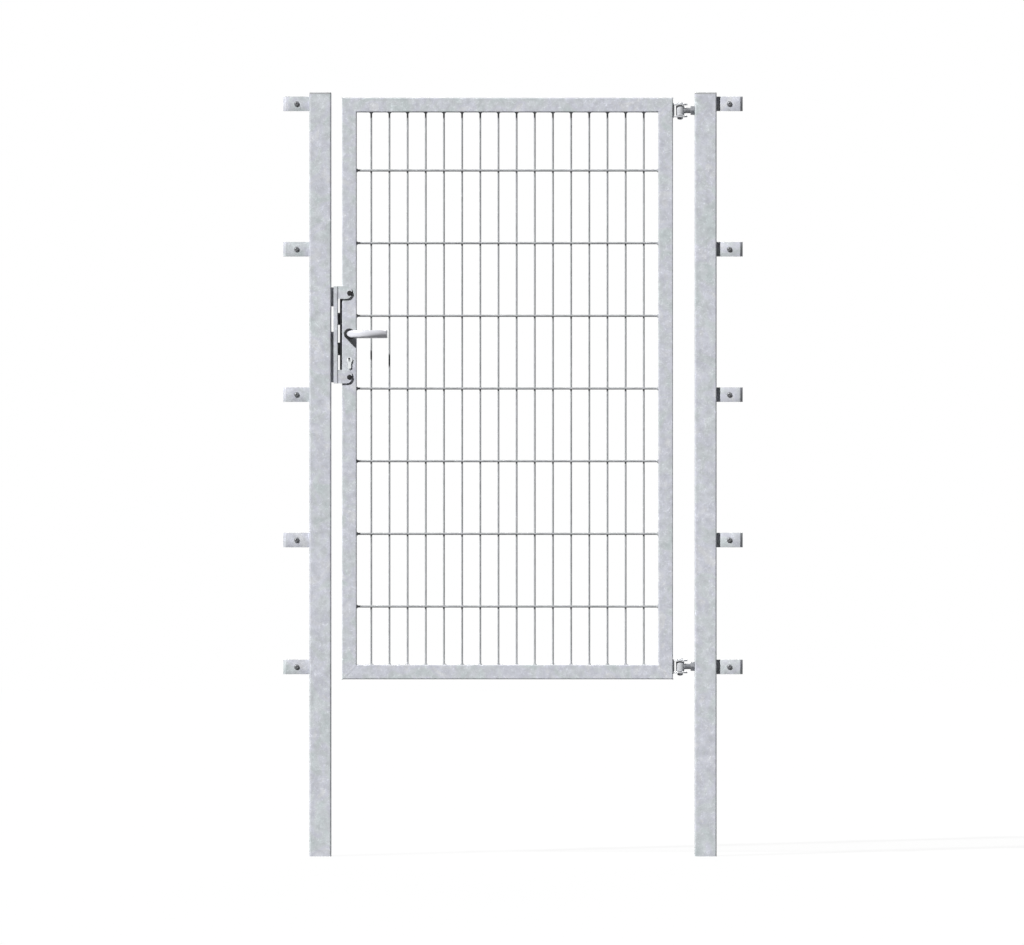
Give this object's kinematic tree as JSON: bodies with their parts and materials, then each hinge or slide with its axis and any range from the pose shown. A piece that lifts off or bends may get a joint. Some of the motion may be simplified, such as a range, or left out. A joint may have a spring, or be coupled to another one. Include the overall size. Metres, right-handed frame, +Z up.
{
  "type": "pedestrian gate",
  "caption": "Single pedestrian gate: tube-framed leaf with double-wire mesh on square posts, eye-bolt hinges, mortise lock with lever handles, and clamps for fence mats.",
  "frame": {"origin": "foot of the hinge post, in the middle of its outer wall's end face", "axes": "+Z up, +X along the fence away from the leaf, +Y towards the side the leaf opens to"},
  "size_m": [1.264, 0.1742, 2.1],
  "materials": {
    "galvanised_steel": "hot-dip galvanised, matt with faint spangle",
    "zinc_plated_steel": "bright zinc plated",
    "cap_plastic": "grey moulded",
    "satin_aluminium": "satin",
    "satin_nickel": "brass, satin nickel plated",
    "rose_plastic": "black moulded",
    "stop_rubber": "black"
  },
  "bodies": {
    "posts": {"hinge_post": "galvanised_steel", "latch_post": "galvanised_steel", "hinge_post_cap": "cap_plastic", "latch_post_cap": "cap_plastic", "hinge_post_clamp_tab_1": "galvanised_steel", "hinge_post_clamp_tab_2": "galvanised_steel", "hinge_post_clamp_tab_3": "galvanised_steel", "hinge_post_clamp_tab_4": "galvanised_steel", "hinge_post_clamp_tab_5": "galvanised_steel", "hinge_post_clamp_plate_1": "galvanised_steel", "hinge_post_clamp_plate_2": "galvanised_steel", "hinge_post_clamp_plate_3": "galvanised_steel", "hinge_post_clamp_plate_4": "galvanised_steel", "hinge_post_clamp_plate_5": "galvanised_steel", "latch_post_clamp_tab_1": "galvanised_steel", "latch_post_clamp_tab_2": "galvanised_steel", "latch_post_clamp_tab_3": "galvanised_steel", "latch_post_clamp_tab_4": "galvanised_steel", "latch_post_clamp_tab_5": "galvanised_steel", "latch_post_clamp_plate_1": "galvanised_steel", "latch_post_clamp_plate_2": "galvanised_steel", "latch_post_clamp_plate_3": "galvanised_steel", "latch_post_clamp_plate_4": "galvanised_steel", "latch_post_clamp_plate_5": "galvanised_steel", "keep": "galvanised_steel", "stop_buffer_upper": "stop_rubber", "stop_buffer_lower": "stop_rubber", "eye_bolt_upper": "zinc_plated_steel", "eye_bolt_lower": "zinc_plated_steel", "eye_bolt_nut_upper": "zinc_plated_steel", "eye_bolt_nut_lower": "zinc_plated_steel"},
    "leaf": {"frame_lock_stile": "galvanised_steel", "frame_hinge_stile": "galvanised_steel", "frame_top_rail": "galvanised_steel", "frame_bottom_rail": "galvanised_steel", "mesh_panel": "galvanised_steel", "hinge_fork_upper": "zinc_plated_steel", "hinge_fork_lower": "zinc_plated_steel", "hinge_bolt_upper": "zinc_plated_steel", "hinge_bolt_lower": "zinc_plated_steel", "lock_case": "zinc_plated_steel", "lock_cylinder": "satin_nickel", "rose_front": "rose_plastic", "rose_back": "rose_plastic"},
    "handle": {"handle_front": "satin_aluminium", "handle_back": "satin_aluminium", "spindle": "zinc_plated_steel"},
    "latch": {"latch": "zinc_plated_steel"},
    "deadbolt": {"deadbolt": "zinc_plated_steel"}
  },
  "joints": [
    {"name": "leaf_swing", "type": "hinge", "parent": "posts", "child": "leaf", "pos_m": [-0.0985, 0, 0.487], "axis": [0, 0, -1], "range_deg": [0, 100]},
    {"name": "handle_turn", "type": "hinge", "parent": "leaf", "child": "handle", "pos_m": [-1.0085, 0, 1.437], "axis": [0, 1, 0], "range_deg": [0, 40], "stiffness_Nm_per_rad": 1.5, "springref_deg": -20.05},
    {"name": "latch_slide", "type": "slide", "parent": "leaf", "child": "latch", "axis": [1, 0, 0], "range_m": [0, 0.013]},
    {"name": "deadbolt_slide", "type": "slide", "parent": "leaf", "child": "deadbolt", "axis": [1, 0, 0], "range_m": [0, 0.016]}
  ],
  "couplings": [
    {"joint": "latch_slide", "follows": "handle_turn", "m_per_rad": 0.0186}
  ]
}
